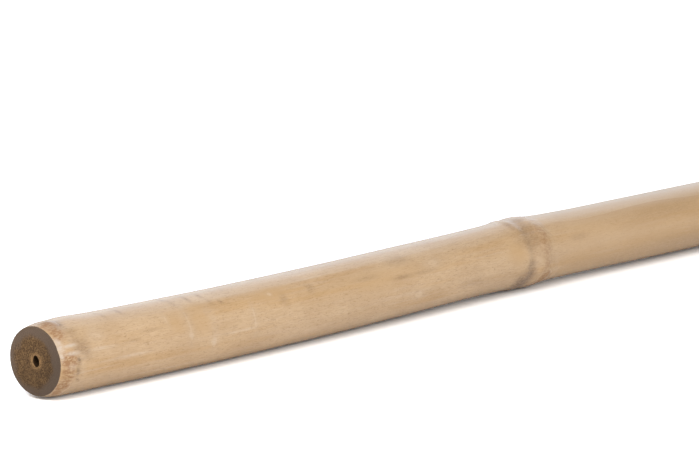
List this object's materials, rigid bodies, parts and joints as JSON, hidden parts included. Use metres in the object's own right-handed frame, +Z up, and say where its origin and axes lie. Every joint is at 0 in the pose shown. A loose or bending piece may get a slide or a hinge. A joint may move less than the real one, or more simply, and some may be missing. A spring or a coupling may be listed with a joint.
{
  "type": "bamboo cane",
  "caption": "Straight cut bamboo cane with raised joint rings, a slight zigzag bow and square-sawn ends, lying down.",
  "frame": {"origin": "centre of the bounding box in X and Y, at the lowest points of the joint rings that the cane rests on", "axes": "+X along the cane from its thick butt to its tip, +Z up from the surface that it lies on, +Y across"},
  "size_m": [0.9, 0.0328, 0.0292],
  "materials": {
    "bamboo": "dry tan bamboo skin with a dull satin wax, faint lengthwise fibres, pale scuffs and brown flecks, and matt grey-brown sawn ends"
  },
  "bodies": {
    "root": {"cane": "bamboo"}
  },
  "joints": []
}
